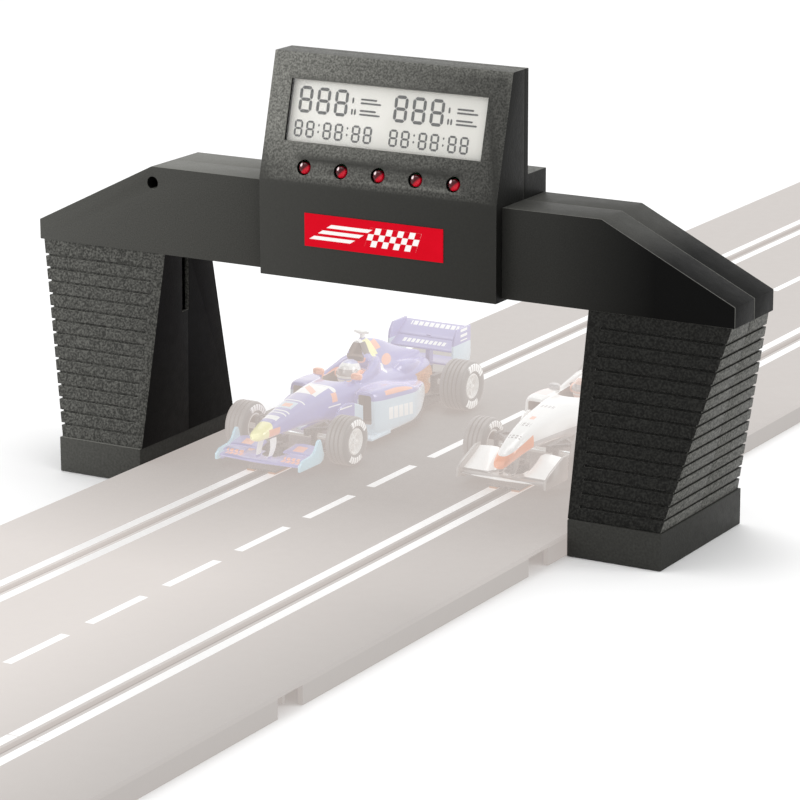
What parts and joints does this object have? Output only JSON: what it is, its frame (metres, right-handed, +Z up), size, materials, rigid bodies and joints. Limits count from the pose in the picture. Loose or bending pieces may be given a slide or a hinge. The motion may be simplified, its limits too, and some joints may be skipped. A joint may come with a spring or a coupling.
{
  "type": "slot car track set",
  "caption": "Two-lane slot car straight with a lap counter gantry over both lanes and a model racing car in each lane.",
  "frame": {"origin": "on the table, under the middle of the straight", "axes": "+X across the track, +Y along it towards the cars' tails, +Z up"},
  "size_m": [0.3208, 1.1352, 0.1819],
  "materials": {
    "track_plastic": "fine moulded grain",
    "rail_steel": "drawn strip",
    "arm_plastic": "grained grey moulding",
    "foot_plastic": "grained grey moulding",
    "display_plastic": "grained grey moulding",
    "clear_window": "clear",
    "lcd_glass": "display glass",
    "light_red": "translucent red",
    "board_green": "solder mask",
    "sensor_dark": "dark lens",
    "battery_wrap": "printed sleeve",
    "label_red": "printed",
    "button_grey": "soft",
    "button_red": "soft",
    "switch_black": "satin",
    "screw_black": "black oxide",
    "guide_black": "satin",
    "braid_copper": "braided tinned copper",
    "chassis_grey": "satin",
    "blue_paint": "painted",
    "blue_wing_paint": "painted",
    "silver_paint": "painted",
    "silver_wing_paint": "painted",
    "helmet_paint": "painted",
    "axle_steel": "ground",
    "rim_silver": "painted",
    "tyre_rubber": "moulded rubber",
    "gear_orange": "moulded",
    "motor_can": "plated can",
    "pinion_brass": "machined",
    "magnet_dark": "sintered"
  },
  "bodies": {
    "track_set": {"quarter_straight": "track_plastic", "straight_1": "track_plastic", "straight_2": "track_plastic", "straight_3": "track_plastic", "contact_rails": "rail_steel", "left_arm_front": "arm_plastic", "left_arm_rear": "arm_plastic", "right_arm_front": "arm_plastic", "right_arm_rear": "arm_plastic", "left_foot": "foot_plastic", "right_foot": "foot_plastic", "display_front": "display_plastic", "display_rear": "display_plastic", "lcd_window": "clear_window", "lcd_panel": "lcd_glass", "start_lights": "light_red", "circuit_board": "board_green", "lap_sensors": "sensor_dark", "batteries": "battery_wrap", "name_plate": "label_red", "housing_screws": "screw_black"},
    "battery_cover": {"battery_cover": "display_plastic"},
    "mode_button": {"mode_button": "button_grey"},
    "start_button": {"start_button": "button_red"},
    "power_switch": {"power_switch": "switch_black"},
    "blue_guide": {"blue_guide": "guide_black", "blue_braids": "braid_copper"},
    "blue_car": {"blue_chassis": "chassis_grey", "blue_body_shell": "blue_paint", "blue_driver": "helmet_paint", "blue_front_wing": "blue_wing_paint", "blue_rear_wing": "blue_wing_paint", "blue_motor": "motor_can", "blue_magnet": "magnet_dark"},
    "blue_front_wheels": {"blue_front_axle": "axle_steel", "blue_front_rims": "rim_silver", "blue_front_tyres": "tyre_rubber"},
    "blue_rear_wheels": {"blue_rear_axle": "axle_steel", "blue_rear_rims": "rim_silver", "blue_rear_tyres": "tyre_rubber", "blue_crown_gear": "gear_orange"},
    "blue_motor_shaft": {"blue_pinion_shaft": "pinion_brass"},
    "silver_guide": {"silver_guide": "guide_black", "silver_braids": "braid_copper"},
    "silver_car": {"silver_chassis": "chassis_grey", "silver_body_shell": "silver_paint", "silver_driver": "helmet_paint", "silver_front_wing": "silver_wing_paint", "silver_rear_wing": "silver_wing_paint", "silver_motor": "motor_can", "silver_magnet": "magnet_dark"},
    "silver_front_wheels": {"silver_front_axle": "axle_steel", "silver_front_rims": "rim_silver", "silver_front_tyres": "tyre_rubber"},
    "silver_rear_wheels": {"silver_rear_axle": "axle_steel", "silver_rear_rims": "rim_silver", "silver_rear_tyres": "tyre_rubber", "silver_crown_gear": "gear_orange"},
    "silver_motor_shaft": {"silver_pinion_shaft": "pinion_brass"}
  },
  "joints": [
    {"name": "mode_press", "type": "slide", "parent": "track_set", "child": "mode_button", "axis": [0, -1, 0], "range_m": [0, 0.001], "stiffness_N_per_m": 200, "springref_m": -0.001},
    {"name": "start_press", "type": "slide", "parent": "track_set", "child": "start_button", "axis": [0, -1, 0], "range_m": [0, 0.001], "stiffness_N_per_m": 200, "springref_m": -0.001},
    {"name": "power_slide", "type": "slide", "parent": "track_set", "child": "power_switch", "axis": [1, 0, 0], "range_m": [0, 0.003]},
    {"name": "cover_slide", "type": "slide", "parent": "track_set", "child": "battery_cover", "axis": [0, 0, -1], "range_m": [0, 0.036]},
    {"name": "blue_run", "type": "slide", "parent": "track_set", "child": "blue_guide", "axis": [0, -1, 0], "range_m": [-0.57, 0.375]},
    {"name": "blue_tail_swing", "type": "hinge", "parent": "blue_guide", "child": "blue_car", "pos_m": [-0.0495, -0.1624, 0.0137], "axis": [0, 0, 1], "range_deg": [-8, 8]},
    {"name": "blue_front_roll", "type": "hinge", "parent": "blue_car", "child": "blue_front_wheels", "pos_m": [-0.0495, -0.1484, 0.019], "axis": [1, 0, 0], "continuous": true},
    {"name": "blue_rear_roll", "type": "hinge", "parent": "blue_car", "child": "blue_rear_wheels", "pos_m": [-0.0495, -0.0494, 0.0197], "axis": [1, 0, 0], "continuous": true},
    {"name": "blue_motor_spin", "type": "hinge", "parent": "blue_car", "child": "blue_motor_shaft", "pos_m": [-0.0495, -0.0594, 0.0197], "axis": [0, 1, 0], "continuous": true},
    {"name": "silver_run", "type": "slide", "parent": "track_set", "child": "silver_guide", "axis": [0, -1, 0], "range_m": [-0.54, 0.4]},
    {"name": "silver_tail_swing", "type": "hinge", "parent": "silver_guide", "child": "silver_car", "pos_m": [0.0495, -0.1357, 0.0137], "axis": [0, 0, 1], "range_deg": [-8, 8]},
    {"name": "silver_front_roll", "type": "hinge", "parent": "silver_car", "child": "silver_front_wheels", "pos_m": [0.0495, -0.1217, 0.019], "axis": [1, 0, 0], "continuous": true},
    {"name": "silver_rear_roll", "type": "hinge", "parent": "silver_car", "child": "silver_rear_wheels", "pos_m": [0.0495, -0.0227, 0.0197], "axis": [1, 0, 0], "continuous": true},
    {"name": "silver_motor_spin", "type": "hinge", "parent": "silver_car", "child": "silver_motor_shaft", "pos_m": [0.0495, -0.0327, 0.0197], "axis": [0, 1, 0], "continuous": true}
  ],
  "couplings": [
    {"joint": "blue_front_roll", "follows": "blue_run", "rad_per_m": 97.087},
    {"joint": "blue_rear_roll", "follows": "blue_run", "rad_per_m": 90.909},
    {"joint": "blue_motor_spin", "follows": "blue_run", "rad_per_m": 272.73},
    {"joint": "silver_front_roll", "follows": "silver_run", "rad_per_m": 97.087},
    {"joint": "silver_rear_roll", "follows": "silver_run", "rad_per_m": 90.909},
    {"joint": "silver_motor_spin", "follows": "silver_run", "rad_per_m": 272.73}
  ]
}
